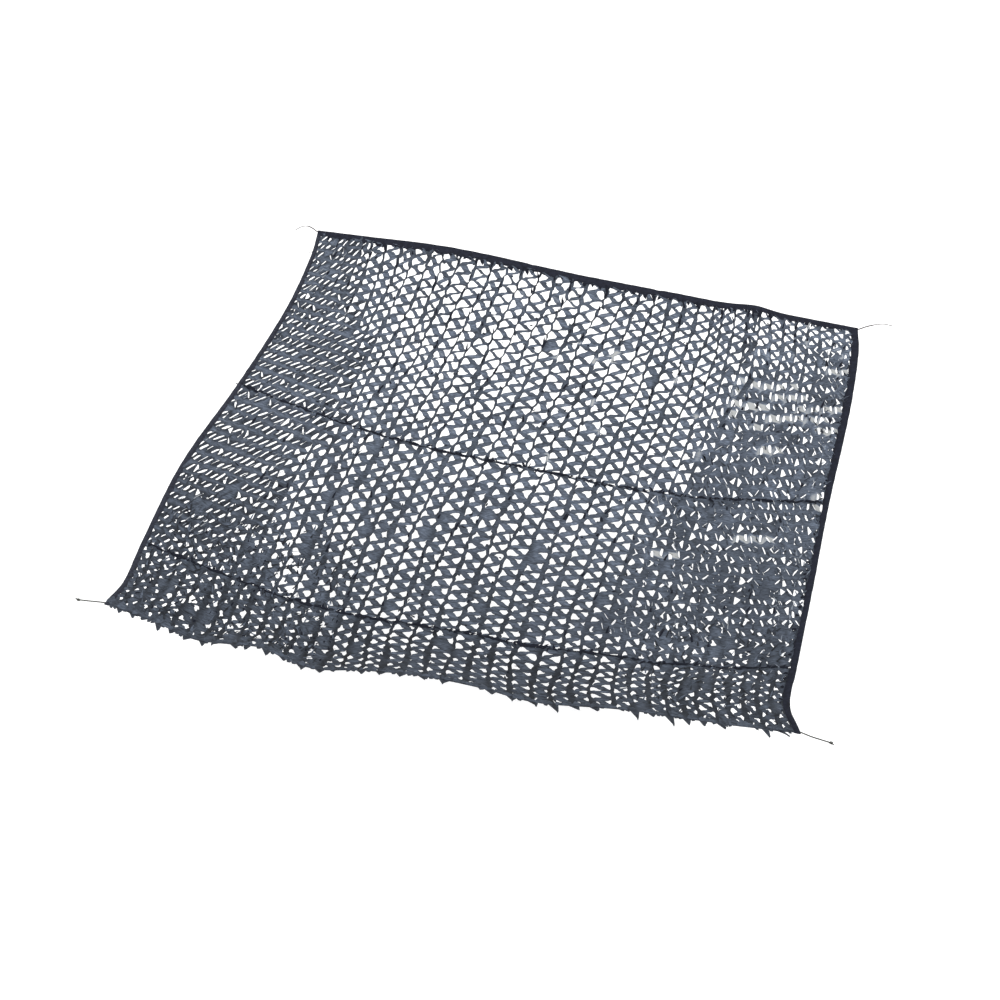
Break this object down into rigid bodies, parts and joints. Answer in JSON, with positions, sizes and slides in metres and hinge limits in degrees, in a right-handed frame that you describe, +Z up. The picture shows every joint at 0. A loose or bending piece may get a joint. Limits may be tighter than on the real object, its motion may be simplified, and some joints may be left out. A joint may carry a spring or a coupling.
{
  "type": "shade sail",
  "caption": "Square net shade sail of leaf-cut cloth, bound with dark tape on three sides and hung in a shallow belly by a tie at each corner, for shade and cover outdoors",
  "frame": {"origin": "the middle of the straight line between the far corners, at the far edge that the sail hangs from; the cloth's own edge stands 22 mm above it there", "axes": "+X runs along the far edge to the right, -Y runs to the near edge, +Z is up"},
  "size_m": [3.2919, 3.082, 0.3477],
  "materials": {
    "net_cloth": "matt woven polyester, slate blue-grey",
    "binding_tape": "matt folded webbing, near-black navy",
    "tie_cord": "matt twisted cord, grey"
  },
  "bodies": {
    "root": {"panel_far": "net_cloth", "panel_middle": "net_cloth", "panel_near": "net_cloth", "binding_far": "binding_tape", "binding_left": "binding_tape", "binding_right": "binding_tape", "tie_far_left": "tie_cord", "tie_far_right": "tie_cord", "tie_near_left": "tie_cord", "tie_near_right": "tie_cord"}
  },
  "joints": []
}
